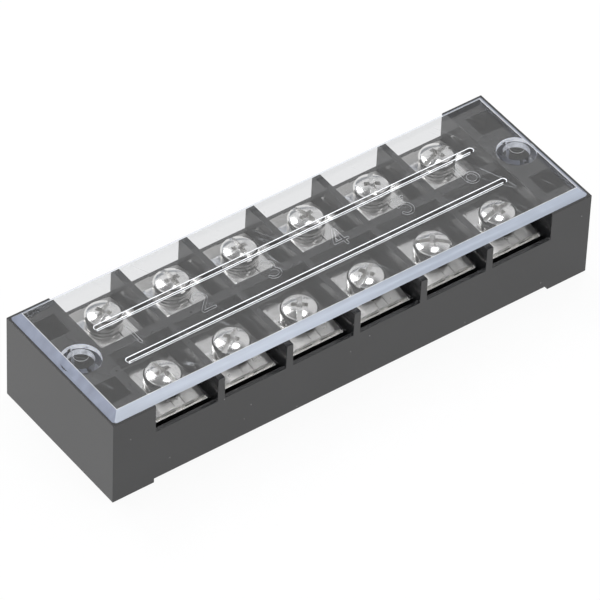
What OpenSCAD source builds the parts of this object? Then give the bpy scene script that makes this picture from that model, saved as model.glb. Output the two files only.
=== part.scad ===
// Barrier terminal strip: a moulded body with two rows of screw terminals,
// a link bar across the two rows of each way, and a clear cover plugged into
// the mounting holes. Millimetres, +Z up, X along the strip, origin at the
// middle of the underside.

/* [Body] */
// Number of terminals in each row
ways = 6; // [2:1:6]
// Distance between neighbouring terminals
pitch = 16.5; // [16:0.1:20]
// Width of the body across the two rows
body_w = 36.9; // [36:0.1:44]
// Height of the two end blocks
end_h = 20.85; // [19.5:0.05:24]
// Length of each end block along the strip
end_l = 10.1; // [10:0.1:14]
// How far the barriers and the middle wall stand below the end blocks
wall_drop = 1.13; // [0.6:0.01:2]
// Thickness of a barrier at its foot
barrier_t = 1.75; // [1.2:0.05:2.2]
// How much a barrier narrows on each side up to its top
barrier_draft = 0.1; // [0:0.05:0.3]
// Thickness of the wall between the two rows
middle_t = 2.35; // [1.6:0.05:3]
// Thickness of the sill along each long side
sill_t = 1; // [0.8:0.05:1.4]
// How far the sill stands above the ledge that carries the link bars
sill_rise = 0.7; // [0.3:0.05:1.1]
// Depth of the trench between sill and ledge
trench_depth = 7; // [3:0.5:9]
// Play around a screw's tip in its hole in the body
tip_play = 0.65; // [0.3:0.05:1]
// Depth of that hole below the screw's tip
tip_room = 1; // [0.5:0.1:2]
// Height of the relief between the two feet
foot_rise = 1.04; // [0.6:0.02:2]
// Length of each foot
foot_l = 9.9; // [6:0.1:10]

/* [Ends] */
// Diameter of a mounting hole
mount_d = 4.6; // [4.2:0.1:5]
// Diameter of the counterbore above a mounting hole
bore_d = 8.6; // [8:0.1:8.8]
// Height of the counterbore's floor above the underside
bore_floor = 9; // [4:0.5:12]
// Length of a core pocket along the strip
pocket_l = 5.6; // [3:0.1:7]
// Width of a core pocket across the strip
pocket_w = 5.9; // [3:0.1:6.4]
// Distance from the middle of the strip to the middle of a core pocket
pocket_y = 10.55; // [9:0.05:11.5]
// Depth of a core pocket
pocket_depth = 12; // [4:0.5:15]

/* [Link bars] */
// Depth of the link bars' top below the top of the end blocks
bar_top = 6.45; // [6.3:0.05:7.2]
// Thickness of a link bar
bar_t = 1.2; // [0.8:0.05:1.6]
// Width of a link bar
bar_w = 12.4; // [11:0.1:13.4]
// Gap between a link bar's end and the sill
bar_end_gap = 0.7; // [0.4:0.05:1.2]
// How far a link bar's end hangs over the ledge
bar_overhang = 0.85; // [0.4:0.05:1.5]
// Play around a link bar in the slot below the middle wall
slot_play = 0.2; // [0.1:0.05:0.4]

/* [Clamp plates] */
// Distance from the middle wall's centre line to the screws of a row
screw_y = 10.15; // [10:0.05:10.8]
// Width of a clamp plate
clamp_w = 11.5; // [10.4:0.1:12.6]
// Thickness of a clamp plate
clamp_t = 0.8; // [0.6:0.05:1]
// Reach of a clamp plate from its screw towards the wire mouth
clamp_front = 6.2; // [5:0.1:6.4]
// Reach of a clamp plate from its screw towards the middle wall
clamp_back = 7.4; // [5:0.1:8]
// Length of the lip turned down at the wire mouth
lip_l = 3.25; // [1.6:0.05:3.6]
// Length of the heel turned down at the middle wall
heel_l = 2; // [1.2:0.05:3]
// How far lip and heel reach down to the link bar
clamp_bow = 0.6; // [0.3:0.05:0.8]
// Width of the wing along each side of a clamp plate
wing_w = 1.4; // [0.8:0.1:2]
// How far a wing is turned down
wing_drop = 0.15; // [0.1:0.05:0.4]
// Width of the channel along the middle of a clamp plate
channel_w = 2.4; // [1.4:0.1:3.4]
// Depth of that channel
channel_d = 0.18; // [0.1:0.02:0.3]
// Width of a channel's slanting side
channel_side = 0.2; // [0.1:0.05:0.4]
// Radius of the corners beside the middle wall
clamp_corner_r = 1.6; // [0.6:0.1:2.4]

/* [Screws] */
// Diameter of a screw's shank
shank_d = 3.9; // [3:0.05:3.95]
// Play around the shank in the link bar's hole
bar_hole_play = 0.05; // [0.02:0.01:0.1]
// Play around the shank in washer and clamp plate
loose_play = 0.2; // [0.1:0.05:0.3]
// Length of the shank below the head
shank_l = 8.3; // [5:0.1:9]
// Length of the chamfer at the shank's tip
tip_l = 0.6; // [0.3:0.05:1]
// Diameter of a screw's head
head_d = 7.8; // [7:0.1:7.9]
// Height of a screw's head
head_h = 2.4; // [1.9:0.05:2.5]
// Radius of the rounding round a head's side
head_edge_r = 1.35; // [0.7:0.05:1.4]
// Rise of the shallow dome above that rounding
head_crown = 0.25; // [0.1:0.05:0.4]
// Width of the straight slot
slot_w = 1.15; // [0.8:0.05:1.4]
// Depth of the straight slot
slot_depth = 1.05; // [0.6:0.05:1.2]
// Width of an arm of the cross recess
cross_w = 1.25; // [0.8:0.05:1.6]
// Length of the cross recess from arm to arm
cross_l = 4.7; // [3.4:0.1:5]
// Depth of the cross recess
cross_depth = 1.6; // [1:0.05:1.8]

/* [Lock washers] */
// Outer diameter of a lock washer
washer_d = 7.6; // [6.6:0.1:8]
// Thickness of a lock washer
washer_t = 1; // [0.7:0.05:1.1]
// Width of the split in a lock washer
split_w = 0.7; // [0.4:0.05:1]
// Slant of that split
split_slant = 25; // [0:5:35]

/* [Cover] */
// Thickness of the clear cover
cover_t = 1.64; // [1.2:0.02:2.4]
// How far the cover's lower edge stays inside the body's faces
cover_inset = 0.52; // [0.2:0.02:1]
// Width of the slanting edge all round the cover
bevel_w = 1.75; // [0.6:0.05:2.4]
// Radius of the cover's corners
cover_corner_r = 0.8; // [0.3:0.1:1.6]
// Distance from the middle of the strip to each stiffening rib
rib_y = 5.5; // [4:0.1:5.5]
// Width of a rib
rib_w = 1.25; // [0.8:0.05:1.25]
// Gap between the ribs and the top of the barriers
rib_gap = 0.13; // [0.08:0.01:0.3]
// Distance from a rib's end to the end block
rib_end_gap = 2; // [1:0.1:4]
// Gap all round between a plug and its counterbore
plug_gap = 0.1; // [0.05:0.01:0.2]
// Wall of a hollow plug
plug_wall = 1.4; // [1:0.05:1.6]
// Length of a plug below the cover
plug_l = 8; // [5:0.1:8.5]
// Width of the slit across a plug
slit_w = 0.8; // [0.5:0.05:1.2]
// Length of a plug above its slit
slit_root = 1.5; // [1:0.1:3]

/* [Hidden] */
$fn = 96;
ROWS = ["front", "back"];

// Angle of each screw's slot to the strip, from the left, as tightened
front_turns = [98, 32, 54, 28, 145, 9];
back_turns = [31, 90, 86, 100, 60, 16];

body_l = ways * pitch - barrier_t + 2 * end_l;
cell_w = pitch - barrier_t;
end_x = body_l / 2 - end_l / 2;
wall_h = end_h - wall_drop;
bar_z = end_h - bar_top;
ledge_z = bar_z - bar_t;
sill_h = ledge_z + sill_rise;
bar_l = body_w - 2 * (sill_t + bar_end_gap);
ledge_y = bar_l / 2 - bar_overhang;
bar_hole_d = shank_d + 2 * bar_hole_play;
loose_d = shank_d + 2 * loose_play;
clamp_top = bar_z + clamp_t + clamp_bow;
washer_z = clamp_top;
seat_z = washer_z + washer_t;
tip_z = seat_z - shank_l;
tip_hole_d = shank_d + 2 * tip_play;
plug_d = bore_d - 2 * plug_gap;
overlap = 0.5;

body_colour = [0.20, 0.20, 0.21];
nickel_colour = [0.80, 0.80, 0.78];
clear_colour = [0.82, 0.88, 0.96, 0.35];

// Middle of a way along the strip
function way_x(way) = (way - (ways + 1) / 2) * pitch;

// A box given by its lowest and highest corners
module span(low, high) {
    translate(low) cube(high - low);
}

// Puts its children at a terminal, with +Y towards the wire mouth
module at_terminal(row, way) {
    translate([way_x(way), 0, 0])
        rotate(row == "front" ? 180 : 0) translate([0, screw_y, 0]) children();
}

// Both rows of one way, seen from the middle wall
module both_rows() {
    for (turn = [0, 180]) rotate(turn) children();
}

// Body: base, end blocks, sills, barriers and middle wall in one moulding
module base_block() {
    span([-body_l / 2, -body_w / 2, 0], [body_l / 2, body_w / 2, ledge_z]);
}

module end_blocks() {
    for (side = [-1, 1]) translate([side * end_x, 0, 0])
        span([-end_l / 2, -body_w / 2, 0], [end_l / 2, body_w / 2, end_h]);
}

module sills() {
    for (side = [-1, 1]) translate([0, side * (body_w - sill_t) / 2, 0])
        span([-end_x, -sill_t / 2, 0], [end_x, sill_t / 2, sill_h]);
}

module barriers() {
    foot = barrier_t / 2;
    top = foot - barrier_draft;
    for (way = [1:ways - 1]) translate([way_x(way + 0.5), body_w / 2, 0]) rotate([90, 0, 0])
        linear_extrude(body_w)
            polygon([[-foot, 0], [foot, 0], [foot, ledge_z], [top, wall_h], [-top, wall_h], [-foot, ledge_z]]);
}

module middle_wall() {
    span([-end_x, -middle_t / 2, 0], [end_x, middle_t / 2, wall_h]);
}

module trench() {
    span([-cell_w / 2, ledge_y, ledge_z - trench_depth], [cell_w / 2, body_w / 2 - sill_t, end_h]);
}

module bar_slot() {
    half_w = bar_w / 2 + slot_play;
    span([-half_w, -middle_t, ledge_z], [half_w, middle_t, bar_z + slot_play]);
}

module mounting_hole() {
    translate([0, 0, -overlap]) cylinder(d = mount_d, h = end_h);
    translate([0, 0, bore_floor]) cylinder(d = bore_d, h = end_h);
}

module core_pocket() {
    translate([0, pocket_y, 0])
        span([-pocket_l / 2, -pocket_w / 2, end_h - pocket_depth],
            [pocket_l / 2, pocket_w / 2, end_h + overlap]);
}

module foot_relief() {
    half_l = body_l / 2 - foot_l;
    span([-half_l, -body_w, -overlap], [half_l, body_w, foot_rise]);
}

module body() {
    color(body_colour) difference() {
        union() {
            base_block();
            end_blocks();
            sills();
            barriers();
            middle_wall();
        }
        for (way = [1:ways]) translate([way_x(way), 0, 0]) {
            bar_slot();
            both_rows() {
                trench();
                translate([0, screw_y, tip_z - tip_room]) cylinder(d = tip_hole_d, h = end_h);
            }
        }
        for (side = [-1, 1]) translate([side * end_x, 0, 0]) {
            mounting_hole();
            both_rows() core_pocket();
        }
        foot_relief();
    }
}

// Link bar: a flat bar under the middle wall with one tapped hole for each row
module link_bar() {
    color(nickel_colour) difference() {
        span([-bar_w / 2, -bar_l / 2, ledge_z], [bar_w / 2, bar_l / 2, bar_z]);
        both_rows() translate([0, screw_y, 0]) cylinder(d = bar_hole_d, h = end_h);
    }
}

// Clamp plate: a pressed saddle with a channel, two wings, a lip and a heel
function clamp_rim() = [
    [clamp_w / 2, -wing_drop],
    [clamp_w / 2 - wing_w, 0],
    [channel_w / 2, 0],
    [channel_w / 2 - channel_side, -channel_d]
];

function mirrored(points) = [for (i = [len(points) - 1:-1:0]) [-points[i].x, points[i].y]];

module clamp_section() {
    top = concat(clamp_rim(), mirrored(clamp_rim()));
    under = [for (i = [len(top) - 1:-1:0]) top[i] - [0, clamp_t]];
    polygon(concat(top, under));
}

// A length of the pressed section from the origin along +Y
module clamp_strip(length) {
    translate([0, length, 0]) rotate([90, 0, 0]) linear_extrude(length) clamp_section();
}

// A strip turned down by the bow minus what the wings already reach
module turned_end(length) {
    drop = clamp_bow - wing_drop;
    rotate([-atan(drop / length), 0, 0]) clamp_strip(sqrt(length * length + drop * drop));
}

module clamp_outline() {
    half_w = clamp_w / 2;
    corner_y = -clamp_back + clamp_corner_r;
    translate([-half_w, corner_y]) square([clamp_w, clamp_front - corner_y + overlap]);
    for (side = [-1, 1])
        translate([side * (half_w - clamp_corner_r), corner_y]) circle(r = clamp_corner_r);
    translate([-half_w + clamp_corner_r, -clamp_back])
        square([clamp_w - 2 * clamp_corner_r, 2 * clamp_corner_r]);
}

module clamp_plate() {
    flat_front = clamp_front - lip_l;
    flat_back = clamp_back - heel_l;
    color(nickel_colour) difference() {
        intersection() {
            translate([0, 0, clamp_top]) {
                translate([0, -flat_back, 0]) clamp_strip(flat_front + flat_back);
                translate([0, flat_front, 0]) turned_end(lip_l);
                translate([0, -flat_back, 0]) rotate(180) turned_end(heel_l);
            }
            linear_extrude(end_h) clamp_outline();
        }
        cylinder(d = loose_d, h = end_h);
    }
}

// Lock washer: a split spring ring under the screw's head
module lock_washer() {
    color(nickel_colour) translate([0, 0, washer_z]) difference() {
        cylinder(d = washer_d, h = washer_t);
        translate([0, 0, -overlap]) cylinder(d = loose_d, h = washer_t + 2 * overlap);
        translate([washer_d / 2, 0, washer_t / 2]) rotate([split_slant, 0, 0])
            cube([washer_d, split_w, 4 * washer_t], center = true);
    }
}

// Screw: pan head with a slot and a cross recess, plain shank for the thread
module head_profile() {
    head_r = head_d / 2;
    side_z = head_h - head_edge_r - head_crown;
    reach = head_r - head_edge_r;
    dome_r = (reach * reach + 2 * head_edge_r * head_crown + head_crown * head_crown)
        / (2 * head_crown);
    intersection() {
        square([head_r, head_h]);
        union() {
            translate([reach, side_z]) circle(r = head_edge_r);
            square([reach, side_z]);
            intersection() {
                translate([0, head_h - dome_r]) circle(r = dome_r, $fn = 4 * $fn);
                square([reach * dome_r / (dome_r - head_edge_r), head_h]);
                translate([0, side_z]) square([reach + head_edge_r, head_h]);
            }
        }
    }
}

module recess() {
    translate([-head_d, -slot_w / 2, head_h - slot_depth]) cube([2 * head_d, slot_w, head_h]);
    for (turn = [0, 90]) rotate(turn)
        translate([-cross_l / 2, -cross_w / 2, head_h - cross_depth])
            cube([cross_l, cross_w, head_h]);
}

module screw(turn) {
    color(nickel_colour) translate([0, 0, seat_z]) rotate(turn) {
        difference() {
            rotate_extrude() head_profile();
            recess();
        }
        translate([0, 0, tip_l - shank_l]) cylinder(d = shank_d, h = shank_l - tip_l);
        translate([0, 0, -shank_l]) cylinder(d1 = shank_d - 2 * tip_l, d2 = shank_d, h = tip_l);
    }
}

// Cover: a clear plate with a slanting edge, two ribs and two hollow plugs
module bevelled_section(width) {
    foot = width / 2 - cover_inset;
    polygon([[-foot, 0], [foot, 0], [foot - bevel_w, cover_t], [bevel_w - foot, cover_t]]);
}

module cover_outline() {
    half = [body_l, body_w] / 2 - [1, 1] * (cover_inset + cover_corner_r);
    square([2 * half.x, 2 * (half.y + cover_corner_r)], center = true);
    square([2 * (half.x + cover_corner_r), 2 * half.y], center = true);
    for (x = [-half.x, half.x], y = [-half.y, half.y]) translate([x, y]) circle(r = cover_corner_r);
}

module cover_plate() {
    intersection() {
        rotate([90, 0, 0]) translate([0, 0, -body_w / 2]) linear_extrude(body_w)
            bevelled_section(body_l);
        rotate([90, 0, 90]) translate([0, 0, -body_l / 2]) linear_extrude(body_l)
            bevelled_section(body_w);
        linear_extrude(cover_t) cover_outline();
    }
}

module rib() {
    rib_h = wall_drop - rib_gap;
    rib_x = body_l / 2 - end_l - rib_end_gap - rib_w / 2;
    translate([0, rib_y, -rib_h]) {
        span([-rib_x, -rib_w / 2, 0], [rib_x, rib_w / 2, rib_h + overlap]);
        for (x = [-rib_x, rib_x]) translate([x, 0, 0]) cylinder(d = rib_w, h = rib_h + overlap);
    }
}

module plug() {
    translate([0, 0, -plug_l]) difference() {
        cylinder(d = plug_d, h = plug_l + overlap);
        translate([0, 0, -overlap]) cylinder(d = plug_d - 2 * plug_wall, h = plug_l + overlap);
        translate([-slit_w / 2, -bore_d, -overlap])
            cube([slit_w, 2 * bore_d, plug_l - slit_root + overlap]);
    }
}

module cover() {
    color(clear_colour) translate([0, 0, end_h]) {
        cover_plate();
        both_rows() rib();
        for (side = [-1, 1]) translate([side * end_x, 0, 0]) plug();
    }
}

body();
cover();
for (way = [1:ways]) {
    translate([way_x(way), 0, 0]) link_bar();
    for (row = ROWS) {
        turn = (row == "front" ? front_turns : back_turns)[way - 1];
        at_terminal(row, way) clamp_plate();
        at_terminal(row, way) lock_washer();
        at_terminal(row, way) screw(turn);
    }
}
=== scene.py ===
"""Looks of a barrier terminal strip, built around its packed solids.

Laid out as a Blender add-on: each piece has an operator, the sizes and colours that a user
would change are properties, and the panel lists both. Run as a script, it makes the whole scene.
"""

import math

import bmesh
import bpy
from bpy.props import FloatProperty, FloatVectorProperty, IntProperty, PointerProperty
from bpy.types import Operator, Panel, PropertyGroup
from mathutils import Matrix, Vector


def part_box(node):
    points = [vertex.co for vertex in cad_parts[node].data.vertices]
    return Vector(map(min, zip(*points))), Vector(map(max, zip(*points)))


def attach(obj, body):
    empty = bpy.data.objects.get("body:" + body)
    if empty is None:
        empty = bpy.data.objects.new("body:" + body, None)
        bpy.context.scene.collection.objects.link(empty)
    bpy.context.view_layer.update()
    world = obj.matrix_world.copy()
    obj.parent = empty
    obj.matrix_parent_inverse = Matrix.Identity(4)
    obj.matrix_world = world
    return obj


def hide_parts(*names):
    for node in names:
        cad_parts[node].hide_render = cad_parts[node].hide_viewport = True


bl_info = {
    "name": "Barrier Terminal Strip",
    "version": (1, 0, 0),
    "blender": (4, 5, 0),
    "location": "View3D > Sidebar > Terminal Strip",
    "description": "Dresses a barrier terminal strip and sets its stage",
    "category": "Object",
}

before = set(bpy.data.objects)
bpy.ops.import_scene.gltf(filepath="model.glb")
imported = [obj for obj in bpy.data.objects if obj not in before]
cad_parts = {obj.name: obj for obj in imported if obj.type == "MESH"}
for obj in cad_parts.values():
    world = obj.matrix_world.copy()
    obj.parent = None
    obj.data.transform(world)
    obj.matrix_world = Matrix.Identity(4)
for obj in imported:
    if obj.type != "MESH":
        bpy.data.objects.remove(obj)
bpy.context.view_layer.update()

MM = 0.001
WAYS = sum(name.startswith("link_bar_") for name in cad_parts)
TERMINALS = [f"{row}_{way}" for row in ("front", "back") for way in range(1, WAYS + 1)]

# Angle of each screw's slot to the strip in degrees, in the order of the terminals
SLOT_TURNS = (98, 32, 54, 28, 145, 9, 31, 90, 86, 100, 60, 16)

# Distance from the middle at which the clamp plates' outer lips begin
LIP_FROM = 13.2 * MM

END_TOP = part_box("body")[1].z
COVER_LOW, COVER_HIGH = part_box("cover")


class MouldingSettings(PropertyGroup):
    """The black moulding."""

    colour: FloatVectorProperty(
        name="Moulding", description="Colour of the black moulding", subtype="COLOR",
        size=4, min=0, max=1, default=(0.018, 0.018, 0.019, 1))
    roughness: FloatProperty(
        name="Roughness", description="Roughness of the black moulding", min=0, max=1, default=0.18)
    edge: FloatProperty(
        name="Edge", description="Rounding of the moulding's edges", subtype="DISTANCE",
        default=0.13 * MM)
    seat_gap: FloatProperty(
        name="Film under the cover", description="Air between the end blocks and the cover",
        subtype="DISTANCE", default=0.03 * MM)


class PlatingSettings(PropertyGroup):
    """The plated metal."""

    colour: FloatVectorProperty(
        name="Plating", description="Colour of the nickel plating", subtype="COLOR",
        size=4, min=0, max=1, default=(0.95, 0.94, 0.92, 1))
    roughness: FloatProperty(
        name="Roughness", description="Roughness of the bright plating", min=0, max=1, default=0.13)
    satin: FloatProperty(
        name="Satin", description="Roughness of the pressed parts' plating", min=0, max=1,
        default=0.15)
    press_edge: FloatProperty(
        name="Pressed edge", description="Rounding of pressed creases and rims", subtype="DISTANCE",
        default=0.09 * MM)
    lip_crown: FloatProperty(
        name="Lip crown", description="Bow of a clamp plate's outer lip from side to side",
        subtype="DISTANCE", default=0.22 * MM)
    bar_edge: FloatProperty(
        name="Bar edge", description="Rounding of the link bars' edges", subtype="DISTANCE",
        default=0.12 * MM)
    washer_edge: FloatProperty(
        name="Washer edge", description="Rounding of the lock washers' edges", subtype="DISTANCE",
        default=0.14 * MM)
    thread_pitch: FloatProperty(
        name="Thread pitch", description="Rise of the screw thread in one turn", subtype="DISTANCE",
        default=0.7 * MM)
    thread_depth: FloatProperty(
        name="Thread depth", description="Depth of the screw thread", subtype="DISTANCE",
        default=0.42 * MM)
    head_steps: IntProperty(
        name="Head steps", description="Faces round a screw's head", min=24, max=192, default=96)


class CoverSettings(PropertyGroup):
    """The clear cover."""

    tint: FloatVectorProperty(
        name="Tint", description="Colour that light takes on at each face of the cover",
        subtype="COLOR", size=4, min=0, max=1, default=(0.765, 0.77, 0.78, 1))
    # Colours of the painted glow on the slanting edge and ends; the ends' colour is darker, as painted
    # shade.
    painted_edge_light: FloatVectorProperty(
        name="Slanting edge", description="Colour of the light gathered in the slanting edge",
        subtype="COLOR", size=4, min=0, max=1, default=(0.645, 0.705, 0.82, 1))
    painted_end_light: FloatVectorProperty(
        name="Slanting end", description="Colour of the light gathered in the slanting ends",
        subtype="COLOR", size=4, min=0, max=1, default=(0.34, 0.375, 0.48, 1))
    ior: FloatProperty(
        name="Index", description="Refractive index of the clear moulding", min=1, max=2, default=1.5)
    rim_edge: FloatProperty(
        name="Rim edge", description="Rounding of the cover's outer edges", subtype="DISTANCE",
        default=0.06 * MM)
    root_fillet: FloatProperty(
        name="Root fillet", description="Fillet at the foot of the ribs", subtype="DISTANCE",
        default=0.17 * MM)
    rib_crest: FloatProperty(
        name="Rib crest", description="Rounding of the ribs' crests", subtype="DISTANCE",
        default=0.53 * MM)
    rib_round: FloatProperty(
        name="Rib ends", description="Rounding of the ribs' ends, seen from above",
        subtype="DISTANCE", default=0.56 * MM)
    gate_width: FloatProperty(
        name="Gate mark", description="Diameter of the round mark above each plug",
        subtype="DISTANCE", default=3.1 * MM)
    number_height: FloatProperty(
        name="Number height", description="Height of the way numbers", subtype="DISTANCE",
        default=4.9 * MM)
    number_stroke: FloatProperty(
        name="Number stroke", description="Width of a number's stroke", subtype="DISTANCE",
        default=0.52 * MM)
    number_flare: FloatProperty(
        name="Number flare", description="How far a number's walls spread towards the plate",
        subtype="DISTANCE", default=0.12 * MM)
    number_relief: FloatProperty(
        name="Number relief", description="How far the numbers stand out below the cover",
        subtype="DISTANCE", default=0.22 * MM)


class StageSettings(PropertyGroup):
    """The camera, the lamps and the floor."""

    azimuth: FloatProperty(
        name="Azimuth", description="Direction of the camera round the strip", subtype="ANGLE",
        default=math.radians(-37.758))
    elevation: FloatProperty(
        name="Elevation", description="Height of the camera above the horizon", subtype="ANGLE",
        default=math.radians(43.534))
    roll: FloatProperty(
        name="Roll", description="Turn of the camera about its own line of sight", subtype="ANGLE",
        default=math.radians(2.395))
    distance: FloatProperty(
        name="Distance", description="From the camera to its target", subtype="DISTANCE",
        default=1.15739)
    lens: FloatProperty(
        name="Lens", description="Focal length", subtype="DISTANCE_CAMERA", default=346.62)
    target_height: FloatProperty(
        name="Target height", description="Height of the camera's target above the floor",
        subtype="DISTANCE", default=10 * MM)
    shift_right: FloatProperty(
        name="Shift right", description="How far the target is moved to the right",
        subtype="DISTANCE", default=-0.245 * MM)
    shift_up: FloatProperty(
        name="Shift up", description="How far the target is moved up", subtype="DISTANCE",
        default=-0.973 * MM)
    fill: FloatProperty(
        name="Fill", description="Level of the even light from all round", min=0, max=2, default=0.68)
    walls: FloatProperty(
        name="Walls", description="Level of the studio's walls in reflections", min=0, max=2,
        default=1.1)
    dark_side: FloatProperty(
        name="Dark side", description="Level of the studio's front, behind the camera, in reflections",
        min=0, max=2, default=0.3)
    ceiling: FloatProperty(
        name="Ceiling", description="Level of the studio's ceiling in reflections", min=0, max=2,
        default=0.16)
    lamp: FloatProperty(
        name="Lamps", description="Level of the soft lamps", min=0, max=10, default=1.0)


SETTINGS = {
    "strip_moulding": MouldingSettings,
    "strip_plating": PlatingSettings,
    "strip_cover": CoverSettings,
    "strip_stage": StageSettings,
}


# Shader helpers

def add_node(tree, kind, inputs=None, **settings):
    """A shader node with its settings and its inputs, given as values or as sockets to link."""
    node = tree.nodes.new(kind)
    for name, value in settings.items():
        setattr(node, name, value)
    for name, value in (inputs or {}).items():
        if isinstance(value, bpy.types.NodeSocket):
            tree.links.new(value, node.inputs[name])
        else:
            node.inputs[name].default_value = value
    return node


def empty_tree(owner):
    """The node tree of a material or of a world, without any node."""
    owner.use_nodes = True
    owner.node_tree.nodes.clear()
    return owner.node_tree


def new_material(name):
    material = bpy.data.materials.new(name)
    return material, empty_tree(material)


def show(tree, surface, kind="ShaderNodeOutputMaterial"):
    """Links the finished shader to an output."""
    add_node(tree, kind, {"Surface": surface})


def object_coordinates(tree):
    return add_node(tree, "ShaderNodeTexCoord").outputs["Object"]


def mix(tree, factor, first, second, kind="RGBA"):
    """A mix of two colours, or of two numbers if the kind is FLOAT."""
    node = add_node(tree, "ShaderNodeMix", {"Factor": factor, "A": first, "B": second}, data_type=kind)
    return node.outputs["Result"]


def mix_shaders(tree, share, first, second):
    return add_node(tree, "ShaderNodeMixShader", {"Fac": share, 1: first, 2: second}).outputs[0]


def calculate(tree, operation, *values):
    """The result of a sum with numbers and sockets."""
    return add_node(tree, "ShaderNodeMath", dict(enumerate(values)), operation=operation).outputs[0]


def spread(tree, value, span=(0, 1), onto=(0, 1), smooth=False):
    """Lays a span of values onto another, with a soft start and end if it is smooth."""
    return add_node(tree, "ShaderNodeMapRange", {
        "Value": value, "From Min": span[0], "From Max": span[1], "To Min": onto[0],
        "To Max": onto[1]}, interpolation_type="SMOOTHSTEP" if smooth else "LINEAR").outputs["Result"]


def noise(tree, where, scale, detail, roughness=0.5):
    return add_node(tree, "ShaderNodeTexNoise", {
        "Vector": where, "Scale": scale, "Detail": detail, "Roughness": roughness}).outputs["Fac"]


def bump(tree, height, strength, distance):
    return add_node(tree, "ShaderNodeBump", {
        "Height": height, "Strength": strength, "Distance": distance}).outputs["Normal"]


def stretched(tree, where, scale):
    return add_node(tree, "ShaderNodeMapping", {"Vector": where, "Scale": scale}).outputs["Vector"]


def shade(colour, factor):
    """A colour made lighter or darker by a factor."""
    return [factor * c for c in colour[:3]] + [1]


def new_group(name, numbers, results):
    """A shader group that takes a place and numbers with their defaults, with its entry and end."""
    group = bpy.data.node_groups.new(name, "ShaderNodeTree")
    group.interface.new_socket("Vector", in_out="INPUT", socket_type="NodeSocketVector")
    for label, default in numbers.items():
        socket = group.interface.new_socket(label, in_out="INPUT", socket_type="NodeSocketFloat")
        socket.default_value = default
    for label in results:
        group.interface.new_socket(label, in_out="OUTPUT", socket_type="NodeSocketFloat")
    return group, group.nodes.new("NodeGroupInput").outputs, group.nodes.new("NodeGroupOutput")


def plain_name(build):
    """The name of a group or a material, taken from the function that builds it."""
    return build.__name__.replace("_", " ").capitalize()


def add_group(tree, build, **inputs):
    """The outputs of a node group, which is built once and shared by every material."""
    name = plain_name(build)
    group = bpy.data.node_groups.get(name) or build(name)
    values = {label.replace("_", " "): value for label, value in inputs.items()}
    return add_node(tree, "ShaderNodeGroup", values, node_tree=group).outputs


def shared_material(build):
    """A material, which is built once and shared by every piece."""
    name = plain_name(build)
    return bpy.data.materials.get(name) or build(name)


# Shader groups

def surface_grain(name):
    """Fine surface grain: a height for a bump and a slow variation from 0 to 1."""
    group, entry, end = new_group(name, {"Scale": 1500.0, "Slow Scale": 120.0}, ("Height", "Variation"))
    fine = noise(group, entry["Vector"], entry["Scale"], 3.0, 0.55)
    slow = noise(group, entry["Vector"], entry["Slow Scale"], 4.0, 0.6)
    group.links.new(fine, end.inputs["Height"])
    group.links.new(spread(group, slow, (0.3, 0.7)), end.inputs["Variation"])
    return group


def dust_specks(name):
    """Dust specks: 1 inside a few small round spots, 0 elsewhere."""
    group, entry, end = new_group(name, {"Scale": 300.0, "Size": 0.08, "Share": 0.2}, ("Mask",))
    cells = add_node(group, "ShaderNodeTexVoronoi", {
        "Vector": entry["Vector"], "Scale": entry["Scale"]}).outputs
    inside = calculate(group, "LESS_THAN", cells["Distance"], entry["Size"])
    split = add_node(group, "ShaderNodeSeparateColor", {"Color": cells["Color"]})
    chosen = calculate(group, "LESS_THAN", split.outputs["Red"], entry["Share"])
    group.links.new(calculate(group, "MULTIPLY", inside, chosen), end.inputs["Mask"])
    return group


def hairlines(name):
    """Hairline scratches in one direction: 1 on a line, 0 elsewhere."""
    group, entry, end = new_group(name, {"Turn": 0.0, "Width": 0.03, "Spacing": 260.0}, ("Mask",))
    turned = add_node(group, "ShaderNodeVectorRotate", {
        "Vector": entry["Vector"], "Angle": entry["Turn"]}, rotation_type="Z_AXIS")
    drawn = add_node(group, "ShaderNodeVectorMath", {0: turned.outputs[0], 1: (0.06, 1, 1)},
                     operation="MULTIPLY")
    lines = noise(group, drawn.outputs[0], entry["Spacing"], 1.0)
    off = calculate(group, "ABSOLUTE", calculate(group, "SUBTRACT", lines, 0.5))
    thin = spread(group, off, (0, entry["Width"]), (1, 0))
    kept = spread(group, noise(group, entry["Vector"], 190.0, 2.0), (0.55, 0.68))
    group.links.new(calculate(group, "MULTIPLY", thin, kept), end.inputs["Mask"])
    return group


# Materials

def black_moulding(name):
    """Black phenolic-like moulding: satin, with a fine skin and a little dust."""
    settings = bpy.context.scene.strip_moulding
    rough = settings.roughness
    material, tree = new_material(name)
    where = object_coordinates(tree)
    skin = add_group(tree, surface_grain, Vector=where, Scale=900.0, Slow_Scale=95.0)
    dust = add_group(tree, dust_specks, Vector=where, Scale=620.0, Size=0.085, Share=0.16)
    colour = mix(tree, skin["Variation"], settings.colour, shade(settings.colour, 1.3))
    shader = add_node(tree, "ShaderNodeBsdfPrincipled", {
        "Base Color": mix(tree, dust["Mask"], colour, (0.22, 0.22, 0.22, 1)),
        "Roughness": spread(tree, skin["Variation"], onto=(rough - 0.05, rough + 0.06)),
        "Normal": bump(tree, skin["Height"], 0.2, 0.004 * MM), "IOR": 1.56})
    show(tree, shader.outputs[0])
    return material


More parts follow.
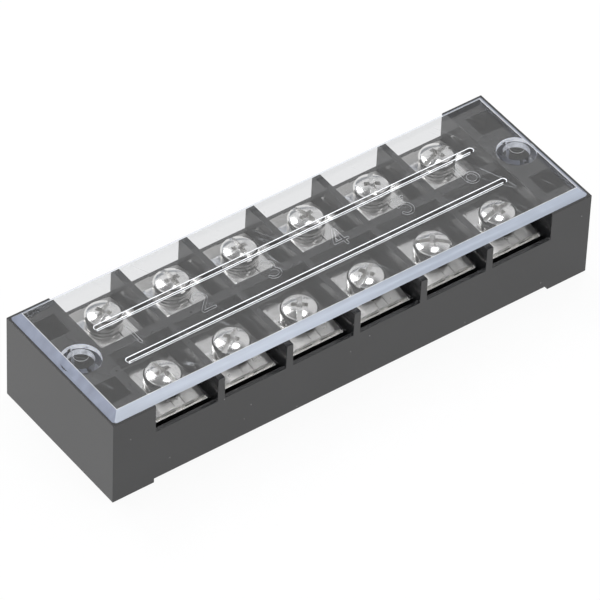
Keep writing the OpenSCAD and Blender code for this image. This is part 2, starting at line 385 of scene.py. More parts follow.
def nickel_plate(name, rough, factor, wave, grain_share):
    """Nickel plating of a shade, with slow waves of the given height and a share of fine grain."""
    plating = bpy.context.scene.strip_plating.colour
    material, tree = new_material(name)
    where = object_coordinates(tree)
    skin = add_group(tree, surface_grain, Vector=where, Scale=700.0, Slow_Scale=260.0)
    marks = add_group(tree, hairlines, Vector=where, Turn=0.4, Width=0.02, Spacing=900.0)
    even = spread(tree, skin["Variation"], onto=(0.85 * rough, 1.25 * rough))
    waves = noise(tree, where, 230.0, 0.0)
    height = calculate(tree, "MULTIPLY_ADD", skin["Height"], grain_share, waves)
    shader = add_node(tree, "ShaderNodeBsdfPrincipled", {
        "Base Color": mix(tree, skin["Variation"], shade(plating, factor), shade(plating, 0.9 * factor)),
        "Roughness": calculate(tree, "MULTIPLY_ADD", marks["Mask"], 0.15, even),
        "Normal": bump(tree, height, 1.0, wave), "Metallic": 1.0})
    show(tree, shader.outputs[0])
    return material


def bright_nickel(name):
    return nickel_plate(name, bpy.context.scene.strip_plating.roughness, 1, 0.02 * MM, 0.1)


def dull_and_shaded_recess(name):
    """The walls of a screw's slot and cross recess: rougher plating, painted darker than the head as
    shade.
    """
    return nickel_plate(name, 2 * bpy.context.scene.strip_plating.roughness, 0.83, 0.02 * MM, 0.1)


def satin_nickel(name):
    return nickel_plate(name, bpy.context.scene.strip_plating.satin, 0.81, 0.06 * MM, 0.02)


def dull_and_shaded_lip_nickel(name):
    """The outer lips: rougher, and painted much darker than the rest of the plate as shade."""
    return nickel_plate(name, 2 * bpy.context.scene.strip_plating.satin, 0.36, 0.06 * MM, 0.03)


def sheared_nickel(name):
    """Plating over a sheared rim: upright tear marks and a duller skin."""
    plating = bpy.context.scene.strip_plating.colour
    material, tree = new_material(name)
    drawn = stretched(tree, object_coordinates(tree), (1, 1, 0.22))
    skin = add_group(tree, surface_grain, Vector=drawn, Scale=2600.0, Slow_Scale=1500.0)
    shader = add_node(tree, "ShaderNodeBsdfPrincipled", {
        "Base Color": mix(tree, skin["Variation"], shade(plating, 0.62), plating),
        "Roughness": spread(tree, skin["Variation"], onto=(0.5, 0.3)),
        "Normal": bump(tree, skin["Height"], 0.8, 0.08 * MM), "Metallic": 1.0})
    show(tree, shader.outputs[0])
    return material


def show_clear(tree, shader):
    """Lets lamp light straight through the clear moulding, so that the terminals below it are lit."""
    path = add_node(tree, "ShaderNodeLightPath")
    clear = add_node(tree, "ShaderNodeBsdfTransparent", {"Color": bpy.context.scene.strip_cover.tint})
    show(tree, mix_shaders(tree, path.outputs["Is Shadow Ray"], shader, clear.outputs[0]))


def clear_moulding(name):
    """Clear, polished moulding with a few specks and hairlines."""
    settings = bpy.context.scene.strip_cover
    material, tree = new_material(name)
    where = object_coordinates(tree)
    dust = add_group(tree, dust_specks, Vector=where, Scale=330.0, Size=0.05, Share=0.12)
    marks = add_group(tree, hairlines, Vector=where, Turn=1.1, Width=0.006, Spacing=210.0)
    glass = add_node(tree, "ShaderNodeBsdfPrincipled", {
        "Base Color": settings.tint, "Roughness": 0.0, "IOR": settings.ior,
        "Transmission Weight": 1.0})
    chalk = add_node(tree, "ShaderNodeBsdfDiffuse", {"Color": (0.8, 0.82, 0.85, 1)})
    share = calculate(tree, "MULTIPLY", calculate(tree, "MAXIMUM", dust["Mask"], marks["Mask"]), 0.4)
    show_clear(tree, mix_shaders(tree, share, glass.outputs[0], chalk.outputs[0]))
    return material


def gathered_light(name, tint):
    """The slanting edge, painted with streaks in the colour of the light that runs along inside the
    plate and comes out there.
    """
    material, tree = new_material(name)
    drawn = stretched(tree, object_coordinates(tree), (0.05, 1, 1))
    streaks = add_group(tree, surface_grain, Vector=drawn, Scale=900.0, Slow_Scale=420.0)
    shader = add_node(tree, "ShaderNodeBsdfPrincipled", {
        "Base Color": mix(tree, streaks["Variation"], shade(tint, 0.88), shade(tint, 1.14)),
        "Roughness": 0.12, "IOR": bpy.context.scene.strip_cover.ior, "Transmission Weight": 0.12})
    show_clear(tree, shader.outputs[0])
    return material


def painted_side_glow(name):
    return gathered_light(name, bpy.context.scene.strip_cover.painted_edge_light)


# The slanting ends get a darker copy of the painted glow: painted shade.
def painted_dim_end_glow(name):
    return gathered_light(name, bpy.context.scene.strip_cover.painted_end_light)


def painted_highlight(name, low, high, glow):
    """A painted highlight: a line or wall in the clear moulding, coloured light and glowing, where light
    would catch.
    """
    material, tree = new_material(name)
    where = object_coordinates(tree)
    skin = add_group(tree, surface_grain, Vector=where, Scale=900.0, Slow_Scale=700.0)
    colour = mix(tree, skin["Variation"], low, high)
    shader = add_node(tree, "ShaderNodeBsdfPrincipled", {
        "Base Color": colour, "Roughness": 0.3, "IOR": bpy.context.scene.strip_cover.ior,
        "Emission Color": colour, "Emission Strength": glow})
    show_clear(tree, shader.outputs[0])
    return material


def rib_highlight(name):
    return painted_highlight(name, (0.85, 0.87, 0.90, 1), (0.97, 0.98, 1.0, 1), 0.95)


def dim_highlight(name):
    return painted_highlight(name, (0.48, 0.49, 0.51, 1), (0.75, 0.76, 0.78, 1), 0.3)


# A painted glow for the plugs' walls.
def plug_wall_glow(name):
    return painted_highlight(name, (0.3, 0.31, 0.35, 1), (0.9, 0.93, 1.0, 1), 0.7)


def see_through(name):
    """Rib walls that pass the view straight on, so that only a rib's bright lines show."""
    material, tree = new_material(name)
    where = object_coordinates(tree)
    skin = add_group(tree, surface_grain, Vector=where, Scale=900.0, Slow_Scale=300.0)
    shader = add_node(tree, "ShaderNodeBsdfPrincipled", {
        "Base Color": mix(tree, skin["Variation"], (0.9, 0.9, 0.9, 1), (1, 1, 1, 1)),
        "Roughness": 0.0, "IOR": 1.0, "Transmission Weight": 1.0})
    show_clear(tree, shader.outputs[0])
    return material


# Mesh helpers

FLAT_WITHIN = math.radians(0.5)
SHARP_FROM = math.radians(24)
SMOOTH_BELOW = math.radians(32)


def merge(shape, distance):
    bmesh.ops.remove_doubles(shape, verts=shape.verts, dist=distance)


def dissolve_flat(shape, **limits):
    """Makes flat faces whole."""
    bmesh.ops.dissolve_limit(
        shape, angle_limit=FLAT_WITHIN, verts=shape.verts, edges=shape.edges, **limits)


def turn_upright(shape, angle):
    """Turns a bmesh about the upright axis through the origin."""
    bmesh.ops.rotate(shape, cent=(0, 0, 0), matrix=Matrix.Rotation(angle, 3, "Z"), verts=shape.verts)


def everything(shape):
    return shape.verts[:] + shape.edges[:] + shape.faces[:]


def merged_copy(node):
    """A bmesh of a CAD node with its doubles merged and its flat faces whole."""
    shape = bmesh.new()
    shape.from_mesh(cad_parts[node].data)
    merge(shape, 0.001 * MM)
    dissolve_flat(shape)
    for face in shape.faces:
        face.material_index = 0
    return shape


def sharp_edges(shape, wanted=lambda edge: True):
    """The edges that turn sharply and are wanted."""
    return [e for e in shape.edges
            if e.is_manifold and e.calc_face_angle(0) > SHARP_FROM and wanted(e)]


def bevel(shape, edges, offset, segments, clamp=True):
    """Rounds edges, and returns the new faces."""
    made = bmesh.ops.bevel(
        shape, geom=edges, offset=offset, offset_type="OFFSET", segments=segments, profile=0.5,
        affect="EDGES", clamp_overlap=clamp, material=-1)
    return made["faces"]


def rounded(node, offset):
    """A bmesh of a CAD node with its sharp edges rounded."""
    shape = merged_copy(node)
    bevel(shape, sharp_edges(shape), offset, segments=3)
    return shape


def make_object(name, shape, finishes=()):
    """An object at the origin from a bmesh, smooth where its faces turn little."""
    mesh = bpy.data.meshes.new(name)
    shape.to_mesh(mesh)
    shape.free()
    for finish in finishes:
        mesh.materials.append(shared_material(finish))
    piece = bpy.data.objects.new(name, mesh)
    bpy.context.scene.collection.objects.link(piece)
    mesh.shade_smooth()
    mesh.set_sharp_from_angle(angle=SMOOTH_BELOW)
    return piece


def place(name, shape, finishes, body, slot, *nodes):
    """A finished piece: it rides on its body and stands for its CAD nodes."""
    piece = make_object(name, shape, finishes)
    flat_faces = piece.modifiers.new("Flat Faces", "WEIGHTED_NORMAL")
    flat_faces.keep_sharp = True
    flat_faces.weight = 50
    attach(piece, body)
    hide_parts(*nodes)


def join(shape, part):
    """Adds one bmesh to another and frees it."""
    mesh = bpy.data.meshes.new("part")
    part.to_mesh(mesh)
    part.free()
    shape.from_mesh(mesh)
    bpy.data.meshes.remove(mesh)


def combined(name, shape, tool, operation):
    """A bmesh after a boolean with another, whose parts may overlap; both are freed."""
    base = make_object(name, shape)
    other = make_object(f"{name}_tool", tool)
    step = base.modifiers.new("Combine", "BOOLEAN")
    step.operation = operation
    step.solver = "EXACT"
    step.use_self = True
    step.object = other
    graph = bpy.context.evaluated_depsgraph_get()
    result = bmesh.new()
    result.from_mesh(base.evaluated_get(graph).to_mesh())
    for item in (base, other):
        mesh = item.data
        bpy.data.objects.remove(item)
        bpy.data.meshes.remove(mesh)
    return result


class StripOperator:
    """What the operators share."""

    bl_options = {"REGISTER", "UNDO"}


class STRIP_OT_body(StripOperator, Operator):
    """Dress the black body with rounded edges and its moulded finish"""

    bl_idname = "strip.body"
    bl_label = "Body"

    def execute(self, context):
        settings = context.scene.strip_moulding
        shape = merged_copy("body")
        for vert in shape.verts:
            vert.co.z = min(vert.co.z, END_TOP - settings.seat_gap)
        bevel(shape, sharp_edges(shape), settings.edge, segments=2)
        place("body_moulding", shape, [black_moulding], "housing", "black_moulding", "body")
        return {"FINISHED"}


class STRIP_OT_link_bars(StripOperator, Operator):
    """Dress the link bars with rounded edges and plating"""

    bl_idname = "strip.link_bars"
    bl_label = "Link bars"

    def execute(self, context):
        edge = context.scene.strip_plating.bar_edge
        for way in range(1, WAYS + 1):
            node = f"link_bar_{way}"
            place(f"plated_bar_{way}", rounded(node, edge), [bright_nickel], "housing", "plated_brass",
                  node)
        return {"FINISHED"}


def crown_lip(shape, low, high, crown):
    """Bows a clamp plate's outer lip slightly from side to side."""
    cuts, lip = 9, 3.6 * MM
    middle, half = (low.x + high.x) / 2, (high.x - low.x) / 2
    outer = max(abs(low.y), abs(high.y))
    for i in range(1, cuts + 1):
        bmesh.ops.bisect_plane(
            shape, geom=everything(shape), dist=0.001 * MM,
            plane_co=(low.x + (high.x - low.x) * i / (cuts + 1), 0, 0), plane_no=(1, 0, 0))
    for vert in shape.verts:
        along = min(1, max(0, (abs(vert.co.y) - outer + lip) / lip))
        vert.co.z -= crown * along * ((vert.co.x - middle) / half) ** 2


class STRIP_OT_clamp_plates(StripOperator, Operator):
    """Dress the clamp plates with pressed creases, sheared rims and plating"""

    bl_idname = "strip.clamp_plates"
    bl_label = "Clamp plates"

    def execute(self, context):
        settings = context.scene.strip_plating
        finishes = (satin_nickel, sheared_nickel, dull_and_shaded_lip_nickel)
        satin, sheared, dull_and_shaded = range(len(finishes))
        upright_below = 0.35
        for tag in TERMINALS:
            node = f"clamp_plate_{tag}"
            shape = merged_copy(node)
            crown_lip(shape, *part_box(node), settings.lip_crown)
            for face in shape.faces:
                if abs(face.normal.z) < upright_below:
                    face.material_index = sheared
            for face in bevel(shape, sharp_edges(shape), settings.press_edge, segments=3):
                face.material_index = satin
            # The outer lips get the rougher finish with painted shade.
            for face in shape.faces:
                if face.material_index == satin and abs(face.calc_center_median().y) > LIP_FROM:
                    face.material_index = dull_and_shaded
            place(f"saddle_{tag}", shape, finishes, f"clamp_{tag}", "plated_steel", node)
        return {"FINISHED"}


class STRIP_OT_lock_washers(StripOperator, Operator):
    """Dress the split lock washers with rounded edges and plating"""

    bl_idname = "strip.lock_washers"
    bl_label = "Lock washers"

    def execute(self, context):
        edge = context.scene.strip_plating.washer_edge
        for tag in TERMINALS:
            node = f"lock_washer_{tag}"
            place(f"spring_ring_{tag}", rounded(node, edge), [bright_nickel], f"clamp_{tag}",
                  "plated_steel", node)
        return {"FINISHED"}


def arc(x, y, radius_x, radius_y, start, end, steps):
    """Points on an arc round a centre, angles in degrees."""
    angles = [math.radians(start + (end - start) * i / steps) for i in range(steps + 1)]
    return [(x + radius_x * math.cos(a), y + radius_y * math.sin(a)) for a in angles]


def outline(points):
    """A bmesh with a line of edges through points in the XZ plane."""
    shape = bmesh.new()
    verts = [shape.verts.new((x, 0, z)) for x, z in points]
    for pair in zip(verts, verts[1:]):
        shape.edges.new(pair)
    return shape


def spun(points, steps):
    """A closed turned shape from a profile of points, from axis to axis."""
    shape = outline(points)
    bmesh.ops.spin(shape, geom=everything(shape), cent=(0, 0, 0), axis=(0, 0, 1), angle=math.tau,
                   steps=steps, use_merge=True, use_duplicate=False)
    merge(shape, 0.0005 * MM)
    bmesh.ops.recalc_face_normals(shape, faces=shape.faces)
    return shape


def block(size, centre, lower_share, turn):
    """A box, narrower below by the shares, turned about the upright axis through the origin."""
    shape = bmesh.new()
    bmesh.ops.create_cube(shape, size=1.0)
    bmesh.ops.scale(shape, vec=size, verts=shape.verts)
    low = [v for v in shape.verts if v.co.z < 0]
    bmesh.ops.scale(shape, vec=(*lower_share, 1), verts=low)
    bmesh.ops.translate(shape, vec=centre, verts=shape.verts)
    turn_upright(shape, turn)
    return shape


# A screw's finishes, and the place of the recess among them
SCREW_FINISHES = (bright_nickel, dull_and_shaded_recess)
RECESS = 1


def screw_head(radius, height, steps):
    """A pan head with its straight slot and cross recess, seated at the origin."""
    edge_r, crown, foot = 0.85 * MM, 0.45 * MM, 0.08 * MM
    edge_steps, dome_steps = 10, 7
    over = 1 * MM
    skin_depth, rim_width = 0.06 * MM, 0.1 * MM

    def recess(length, width, depth, lower_share, turn=0.0):
        return block((length, width, depth + over), (0, 0, height + (over - depth) / 2),
                     lower_share, turn)

    reach = radius - edge_r
    side_z = height - edge_r - crown
    dome_r = (reach ** 2 + 2 * edge_r * crown + crown ** 2) / (2 * crown)
    meet = math.degrees(math.asin(reach / (dome_r - edge_r)))
    points = [(0, 0), (radius / 2, 0), (radius - foot, 0), (radius, foot)]
    points += arc(reach, side_z, edge_r, edge_r, 0, 90 - meet, edge_steps)
    points += arc(0, height - dome_r, dome_r, dome_r, 90 - meet, 90, dome_steps)[1:]
    tools = recess(3 * radius, 1.15 * MM, 1.05 * MM, (1, 0.86))
    for turn in (0, math.pi / 2):
        join(tools, recess(4.7 * MM, 1.25 * MM, 1.6 * MM, (0.34, 0.7), turn))
    shape = combined("head", spun(points, steps), tools, "DIFFERENCE")
    merge(shape, 0.002 * MM)
    bmesh.ops.dissolve_degenerate(shape, dist=0.002 * MM, edges=shape.edges)
    shoulder = dome_r * reach / (dome_r - edge_r)
    for face in shape.faces:
        middle = face.calc_center_median()
        out = math.hypot(middle.x, middle.y)
        if out < shoulder:
            skin = height - dome_r + math.sqrt(dome_r ** 2 - out ** 2)
        else:
            skin = side_z + math.sqrt(max(0, edge_r ** 2 - (out - reach) ** 2))
        # Faces below the head's skin are the recess, which gets the darker finish: painted shade.
        if side_z - edge_r < middle.z < skin - skin_depth and out < radius - rim_width:
            face.material_index = RECESS
    return shape


def threaded_shank(radius, top, tip, pitch, depth):
    """A shank with a screw thread, from inside the head down to its flat tip."""
    steps = 28
    turns = math.ceil((top - tip) / pitch) + 1
    root = radius - depth
    # One turn of the thread: radius, and height as a share of the pitch
    profile = [(root, 0), (root, 0.12), (radius, 0.44), (radius, 0.56), (root, 0.88), (root, 1)]
    shape = outline([(r, tip - pitch + share * pitch) for r, share in profile])
    bmesh.ops.spin(shape, geom=everything(shape), cent=(0, 0, 0), axis=(0, 0, 1),
                   angle=math.tau * turns, steps=steps * turns, dvec=(0, 0, pitch / steps),
                   use_merge=False, use_duplicate=False)
    merge(shape, 0.002 * MM)
    for z, outwards in ((top, 1), (tip, -1)):
        bmesh.ops.bisect_plane(shape, geom=everything(shape), plane_co=(0, 0, z),
                               plane_no=(0, 0, outwards), clear_outer=True, dist=0.0005 * MM)
        rim = [e for e in shape.edges
               if e.is_boundary and all(abs(v.co.z - z) < 0.001 * MM for v in e.verts)]
        bmesh.ops.holes_fill(shape, edges=rim, sides=0)
    bmesh.ops.recalc_face_normals(shape, faces=shape.faces)
    return shape


class STRIP_OT_screws(StripOperator, Operator):
    """Build the terminal screws: pan head, slot, cross recess and thread"""

    bl_idname = "strip.screws"
    bl_label = "Terminal screws"

    def execute(self, context):
        settings = context.scene.strip_plating
        low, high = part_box("screw_front_1")
        seat_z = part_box("lock_washer_front_1")[1].z
        shank_r, into_head, head_edge = 1.95 * MM, 0.05 * MM, 0.05 * MM
        head = screw_head((high.x - low.x) / 2, high.z - seat_z, settings.head_steps)
        bevel(head, sharp_edges(head), head_edge, segments=2)
        shank = threaded_shank(shank_r, into_head, low.z - seat_z, settings.thread_pitch,
                               settings.thread_depth)
        for tag, turn in zip(TERMINALS, SLOT_TURNS):
            node = f"screw_{tag}"
            low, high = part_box(node)
            centre = (low + high) / 2
            shape = head.copy()
            join(shape, shank.copy())
            turn_upright(shape, math.radians(turn))
            bmesh.ops.translate(shape, vec=(centre.x, centre.y, seat_z), verts=shape.verts)
            place(f"pan_screw_{tag}", shape, SCREW_FINISHES, f"screw_{tag}", "plated_steel", node)
        head.free()
        shank.free()
        return {"FINISHED"}


def capsule(start, end, width, depth, top, flare):
    """A short raised bar with round ends, wider at its root, from just inside the plate downwards."""
    shape = bmesh.new()
    for point in (start, end):
        bmesh.ops.create_cone(
            shape, cap_ends=False, segments=12, radius1=width / 2, radius2=width / 2 + flare,
            depth=depth, matrix=Matrix.Translation((point.x, point.y, top - depth / 2)))
    bmesh.ops.delete(shape, geom=shape.edges[:], context="EDGES_FACES")
    merge(shape, 0.002 * MM)
    hull = bmesh.ops.convex_hull(shape, input=shape.verts)
    inner = [v for v in hull["geom_interior"] if isinstance(v, bmesh.types.BMVert)]
    bmesh.ops.delete(shape, geom=inner, context="VERTS")
    dissolve_flat(shape)
    bmesh.ops.recalc_face_normals(shape, faces=shape.faces)
    return shape


def path_points(*parts):
    """A path from points and arcs; an arc is (centre x, centre y, radius x, radius y, start, end)."""
    least_steps, degrees_a_step = 4, 15
    points = []
    for part in parts:
        if len(part) == 2:
            points.append(Vector(part))
        else:
            steps = max(least_steps, round(abs(part[5] - part[4]) / degrees_a_step))
            points += [Vector(point) for point in arc(*part, steps)]
    return points


# Strokes of the way numbers, in shares of their height, from their middle
NUMBER_STROKES = {
    1: [path_points((0, 0.5), (0, -0.5))],
    2: [path_points((0, 0.22, 0.27, 0.28, 170, -30), (-0.27, -0.42), (-0.27, -0.5), (0.27, -0.5))],
    3: [path_points((0, 0.24, 0.25, 0.26, 160, -80), (0, -0.24, 0.28, 0.26, 80, -160))],
    4: [path_points((0.13, 0.5), (-0.30, -0.24), (0.34, -0.24)), path_points((0.16, 0.5), (0.16, -0.5))],
    5: [path_points((0.27, 0.5), (-0.18, 0.5), (-0.22, 0.06), (0.0, -0.18, 0.28, 0.32, 130, -150))],
    6: [path_points((0.2, 0.42, 0.48, 0.6, 120, 180), (-0.28, -0.2)),
        path_points((0, -0.2, 0.28, 0.30, 180, -180))],
}

# The cover's finishes, clear where nothing else is said, and the places of the others among them; all
# the others but the see-through rib walls are painted glow or painted highlights
COVER_FINISHES = (clear_moulding, painted_side_glow, painted_dim_end_glow, rib_highlight, dim_highlight, see_through, plug_wall_glow)
EDGE, END, LINE, NUMBER, PASSING, GLOWING_WALL = range(1, len(COVER_FINISHES))

# The cover's underside, ribs and plugs, as the solids have them
UNDER = END_TOP
RIB_Y, RIB_HALF, RIB_END = 5.5 * MM, 0.625 * MM, 48 * MM
PLUG_X, PLUG_R = 53.675 * MM, 4.2 * MM
NEAR = 0.01 * MM

# A face leans when the upright part of its normal is below this
LEANING_BELOW = 0.95


def mark_slants(shape):
    """Gives the faces that slant down round the cover's plate the painted glow, darker at the ends."""
    upright_below = 0.3
    for face in shape.faces:
        if upright_below < face.normal.z < LEANING_BELOW:
            at_end = abs(face.normal.x) > abs(face.normal.y)
            face.material_index = END if at_end else EDGE


def on_rib(vert):
    return (abs(abs(vert.co.y) - RIB_Y) < RIB_HALF + NEAR and abs(vert.co.x) < RIB_END
            and vert.co.z < UNDER + NEAR)


def round_ribs(shape, settings):
    """Rounds the ribs, and paints highlights on the lines on them that catch the light."""
    def upright(edge):
        first, second = edge.verts
        return on_rib(first) and on_rib(second) and abs(first.co.z - second.co.z) > NEAR

    def at_crest(edge):
        return all(on_rib(v) and v.co.z < low + NEAR for v in edge.verts)

    def at_root(edge):
        return all(on_rib(v) and v.co.z > UNDER - NEAR for v in edge.verts)

    low = min(v.co.z for v in shape.verts if on_rib(v))
    bevel(shape, sharp_edges(shape, upright), settings.rib_round, segments=5)
    bevel(shape, sharp_edges(shape, at_crest), settings.rib_crest, segments=3)
    bevel(shape, sharp_edges(shape, at_root), settings.root_fillet, segments=2, clamp=False)
    straight = max(abs(v.co.x) for v in shape.verts if on_rib(v)) - settings.rib_round
    for face in shape.faces:
        middle = face.calc_center_median()
        aside = middle.y - math.copysign(RIB_Y, middle.y)
        off_rib = abs(aside) > RIB_HALF + settings.root_fillet or abs(middle.x) > RIB_END
        if off_rib or not low - NEAR < middle.z < UNDER - NEAR:
            continue
        high_up = middle.z > UNDER - settings.root_fillet
        at_far_wall = high_up and (aside > 0.8 * RIB_HALF or abs(middle.x) > straight)
        on_crest = middle.z < low + NEAR
        face.material_index = LINE if at_far_wall or on_crest else PASSING


def mark_plugs(shape):
    """Gives the plugs' lower rims the darker painted glow of the ends, and the walls below the plate
    that face away from the camera a painted glow.
    """
    glow_height, slack = 2.2 * MM, 0.1 * MM
    away = Vector((0.61, 0.79, 0))
    walls = [f for f in shape.faces
             if abs(abs(f.calc_center_median().x) - PLUG_X) < 1.2 * PLUG_R
             and f.calc_center_median().z < UNDER - NEAR]
    parts = dict.fromkeys(part for face in walls for part in (face, *face.edges, *face.verts))
    bmesh.ops.bisect_plane(shape, geom=list(parts), dist=0.001 * MM,
                           plane_co=(0, 0, UNDER - glow_height), plane_no=(0, 0, 1))
    for face in shape.faces:
        middle = face.calc_center_median()
        out = Vector((middle.x - math.copysign(PLUG_X, middle.x), middle.y, 0))
        on_plug = abs(out.length - PLUG_R) < 0.07 * PLUG_R
        high_up = UNDER - glow_height - slack < middle.z < UNDER - NEAR
        if middle.z < COVER_LOW.z + NEAR:
            face.material_index = END
        elif high_up and on_plug and face.normal.dot(away) > 0:
            face.material_index = GLOWING_WALL


def raised_marks(settings):
    """The way numbers below the plate and the round gate marks on it, sunk into it a little."""
    sink, aside = 0.3 * MM, 0.12 * MM
    gate_proud, gate_flare = 0.05 * MM, 0.2 * MM
    marks = bmesh.new()
    for way in range(1, WAYS + 1):
        low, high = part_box(f"link_bar_{way}")
        middle = Vector(((low.x + high.x) / 2 + aside, -aside))
        for path in NUMBER_STROKES[way]:
            scaled = [middle + settings.number_height * p for p in path]
            for pair in zip(scaled, scaled[1:]):
                join(marks, capsule(*pair, settings.number_stroke, settings.number_relief + sink,
                                    UNDER + sink, settings.number_flare))
    for side in (-1, 1):
        disc = bmesh.new()
        bmesh.ops.create_cone(
            disc, cap_ends=True, segments=48, radius1=settings.gate_width / 2 + gate_flare,
            radius2=settings.gate_width / 2, depth=sink,
            matrix=Matrix.Translation((side * PLUG_X, 0, COVER_HIGH.z + gate_proud - sink / 2)))
        join(marks, disc)
    return marks


def mark_raised(shape, settings):
    """Gives the leaning walls of the numbers and of the gate marks a dim painted highlight."""
    upright_below = 0.1
    lowest = UNDER - settings.number_relief
    for face in shape.faces:
        middle = face.calc_center_median()
        on_number = lowest < middle.z < UNDER - NEAR and abs(middle.y) < 0.7 * RIB_Y
        on_gate = middle.z > COVER_HIGH.z and abs(middle.y) < settings.gate_width
        if upright_below < abs(face.normal.z) < LEANING_BELOW and (on_number or on_gate):
            face.material_index = NUMBER


class STRIP_OT_cover(StripOperator, Operator):
    """Build the clear cover with its slanting edge, ribs, plugs and way numbers"""

    bl_idname = "strip.cover"
    bl_label = "Clear cover"

    def execute(self, context):
        settings = context.scene.strip_cover
        shape = merged_copy("cover")
        mark_slants(shape)
        round_ribs(shape, settings)
        mark_plugs(shape)

        def at_top_rim(edge):
            return all(abs(v.co.z - COVER_HIGH.z) < NEAR for v in edge.verts)

        # The rounded top rim gets the dim painted highlight.
        for face in bevel(shape, sharp_edges(shape, at_top_rim), settings.rim_edge, segments=2):
            face.material_index = NUMBER
        shape = combined("cover_plate", shape, raised_marks(settings), "UNION")
        dissolve_flat(shape, delimit={"MATERIAL"})
        mark_raised(shape, settings)
        place("cover_moulding", shape, COVER_FINISHES, "cover", "clear_moulding", "cover")
        return {"FINISHED"}


class STRIP_OT_stage(StripOperator, Operator):
    """Set the camera, the lamps, the world and the floor"""

    bl_idname = "strip.stage"
    bl_label = "Stage"

    def execute(self, context):
        set_camera(context.scene)
        set_world(context.scene)
        set_floor(context.scene)
        set_lamps(context.scene)
        return {"FINISHED"}


def set_camera(scene):
    settings = scene.strip_stage
    az, el, roll = settings.azimuth, settings.elevation, settings.roll
    back = Vector((math.sin(az) * math.cos(el), -math.cos(az) * math.cos(el), math.sin(el)))
    right = Vector((0, 0, 1)).cross(back).normalized()
    up = back.cross(right)
    target = Vector((0, 0, settings.target_height))
    target += settings.shift_right * right
    target += settings.shift_up * up
    turned_right = right * math.cos(roll) + up * math.sin(roll)
    turned_up = up * math.cos(roll) - right * math.sin(roll)
    camera = bpy.data.objects.new("camera", bpy.data.cameras.new("camera"))
    camera.data.lens = settings.lens
    camera.data.sensor_width = 36
    camera.data.clip_start = 0.1
    camera.data.clip_end = 20
    camera.matrix_world = Matrix((turned_right, turned_up, back)).transposed().to_4x4()
    camera.location = target + back * settings.distance
    scene.collection.objects.link(camera)
    scene.camera = camera


def seen_rays(tree):
    """1 for rays that show the background, from the camera, off gloss or through glass; and the
    camera's rays by themselves."""
    path = add_node(tree, "ShaderNodeLightPath").outputs
    camera = path["Is Camera Ray"]
    first = calculate(tree, "MAXIMUM", camera, path["Is Glossy Ray"])
    return calculate(tree, "MAXIMUM", first, path["Is Transmission Ray"]), camera


def set_world(scene):
    """A white background, a studio that shows in reflections only, and even light from all round."""
    settings = scene.strip_stage
    scene.world = bpy.data.worlds.new("studio")
    tree = empty_tree(scene.world)
    shown, camera = seen_rays(tree)
    way = add_node(tree, "ShaderNodeTexCoord").outputs["Generated"]
    axes = add_node(tree, "ShaderNodeSeparateXYZ", {"Vector": way}).outputs
    height = axes["Z"]
    walls = spread(tree, height, (0.1, 0.5), (1, settings.walls), smooth=True)
    ceiling = spread(tree, height, (0.72, 0.9), smooth=True)
    room = mix(tree, ceiling, walls, settings.ceiling, "FLOAT")
    ahead = spread(tree, axes["Y"], (0, -0.5), smooth=True)
    above = spread(tree, height, (0.1, 0.4), smooth=True)
    front = calculate(tree, "MULTIPLY", ahead, above)
    sides = mix(tree, front, room, settings.dark_side, "FLOAT")
    seen = add_node(tree, "ShaderNodeBackground", {
        "Color": (1, 1, 1, 1), "Strength": mix(tree, camera, sides, 1.0, "FLOAT")})
    fill = add_node(tree, "ShaderNodeBackground", {
        "Color": (0.97, 0.985, 1, 1), "Strength": settings.fill})
    show(tree, mix_shaders(tree, shown, fill.outputs[0], seen.outputs[0]), "ShaderNodeOutputWorld")


def floor(name):
    """A white floor that keeps a faint shadow of the strip."""
    material, tree = new_material(name)
    matt = add_node(tree, "ShaderNodeBsdfDiffuse", {"Color": (0.95, 0.95, 0.95, 1)})
    white = add_node(tree, "ShaderNodeEmission", {"Color": (1, 1, 1, 1), "Strength": 1.02})
    share = calculate(tree, "MULTIPLY", seen_rays(tree)[0], 0.9)
    show(tree, mix_shaders(tree, share, matt.outputs[0], white.outputs[0]))
    return material


def set_floor(scene):
    shape = bmesh.new()
    bmesh.ops.create_grid(shape, x_segments=2, y_segments=2, size=2.5)
    make_object("floor", shape, [floor])


# Each lamp: direction from the strip, distance, width, height, level in watts
LAMPS = {
    "back_softbox": ((0.0, 0.63, 0.78), 1.2, 0.26, 0.34, 2.8),
    "right_softbox": ((0.30, 0.22, 0.90), 1.2, 0.20, 0.26, 1.2),
    "left_softbox": ((-0.46, 0.57, 0.68), 1.25, 0.36, 0.30, 1.1),
    "front_softbox": ((0.30, -0.71, 0.63), 1.3, 0.42, 0.16, 0.5),
}


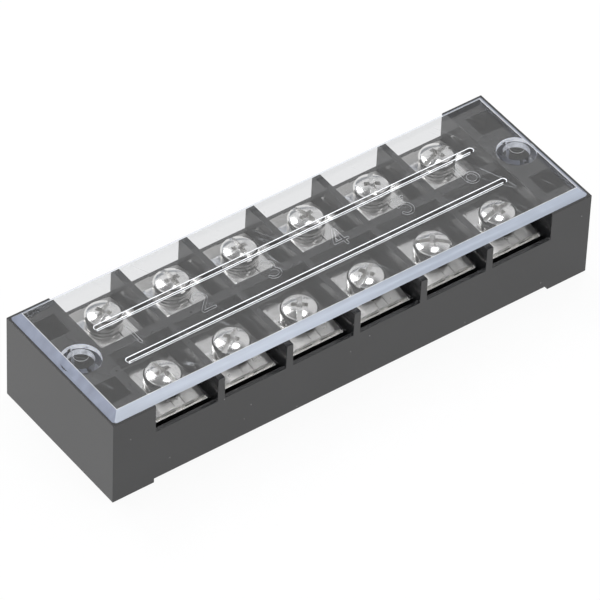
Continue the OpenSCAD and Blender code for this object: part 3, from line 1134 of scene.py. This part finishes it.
def set_lamps(scene):
    settings = scene.strip_stage
    target = Vector((0, 0, settings.target_height))
    for name, (way, distance, width, height, watts) in LAMPS.items():
        data = bpy.data.lights.new(name, "AREA")
        data.shape = "RECTANGLE"
        data.size = width
        data.size_y = height
        data.energy = watts * settings.lamp
        lamp = bpy.data.objects.new(name, data)
        direction = Vector(way).normalized()
        lamp.rotation_mode = "QUATERNION"
        lamp.rotation_quaternion = direction.to_track_quat("Z", "Y")
        lamp.location = target + direction * distance
        scene.collection.objects.link(lamp)


class STRIP_PT_panel(Panel):
    """Lists the strip's pieces and settings"""

    bl_idname = "STRIP_PT_panel"
    bl_label = "Terminal Strip"
    bl_space_type = "VIEW_3D"
    bl_region_type = "UI"
    bl_category = "Terminal Strip"

    def draw(self, context):
        for operator in OPERATORS:
            self.layout.operator(operator.bl_idname)
        for name, group in SETTINGS.items():
            box = self.layout.box()
            box.label(text=group.__doc__)
            for field in group.__annotations__:
                box.prop(getattr(context.scene, name), field)


OPERATORS = (
    STRIP_OT_stage, STRIP_OT_body, STRIP_OT_link_bars, STRIP_OT_clamp_plates, STRIP_OT_lock_washers,
    STRIP_OT_screws, STRIP_OT_cover,
)
CLASSES = (*SETTINGS.values(), *OPERATORS, STRIP_PT_panel)


def register():
    for cls in CLASSES:
        bpy.utils.register_class(cls)
    for name, group in SETTINGS.items():
        setattr(bpy.types.Scene, name, PointerProperty(type=group))


def unregister():
    for name in SETTINGS:
        delattr(bpy.types.Scene, name)
    for cls in reversed(CLASSES):
        bpy.utils.unregister_class(cls)


def set_render(scene):
    """Light paths long enough for the clear cover, and plain colours."""
    scene.view_settings.view_transform = "Standard"
    scene.cycles.max_bounces = 24
    scene.cycles.transmission_bounces = 24
    scene.cycles.glossy_bounces = 12
    scene.cycles.transparent_max_bounces = 16


def main():
    register()
    set_render(bpy.context.scene)
    bpy.ops.strip.stage()
    bpy.ops.strip.body()
    bpy.ops.strip.link_bars()
    bpy.ops.strip.clamp_plates()
    bpy.ops.strip.lock_washers()
    bpy.ops.strip.screws()
    bpy.ops.strip.cover()


if __name__ == "__main__":
    main()
